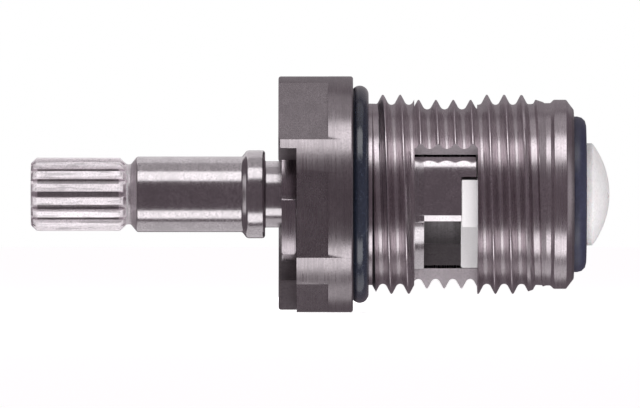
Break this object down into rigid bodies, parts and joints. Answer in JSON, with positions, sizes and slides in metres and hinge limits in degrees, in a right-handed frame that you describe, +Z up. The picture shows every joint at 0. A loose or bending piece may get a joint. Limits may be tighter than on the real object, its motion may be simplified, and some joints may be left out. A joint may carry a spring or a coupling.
{
  "type": "faucet stem cartridge",
  "caption": "Quarter-turn ceramic-disc faucet stem with splined handle end, hexagonal collar, O-ring, threaded barrel with side windows and domed inlet strainer.",
  "frame": {"origin": "centre of the collar's sealing face, on the cartridge's axis", "axes": "+X along the axis towards the inlet, -X towards the handle, +Z up with the front window facing -Y and down"},
  "size_m": [0.0605, 0.0247, 0.0246],
  "materials": {
    "body_metal": "satin",
    "stem_metal": "satin",
    "clip_metal": "satin",
    "dark_rubber": "satin",
    "seal_rubber": "satin",
    "white_plastic": "matte",
    "strainer_plastic": "matte",
    "white_ceramic": "satin"
  },
  "bodies": {
    "housing": {"valve_body": "body_metal", "collar_o_ring": "dark_rubber", "friction_washer": "white_plastic", "fixed_disc": "white_ceramic", "inlet_seal": "seal_rubber", "seal_support_ring": "white_plastic", "inlet_strainer": "strainer_plastic"},
    "spindle": {"stem": "stem_metal", "upper_stem_o_ring": "dark_rubber", "lower_stem_o_ring": "dark_rubber", "stop_clip": "clip_metal", "moving_disc": "white_ceramic"}
  },
  "joints": [
    {"name": "stem_turn", "type": "hinge", "parent": "housing", "child": "spindle", "pos_m": [0, 0, 0], "axis": [-1, 0, 0], "range_deg": [-65, 25]}
  ]
}
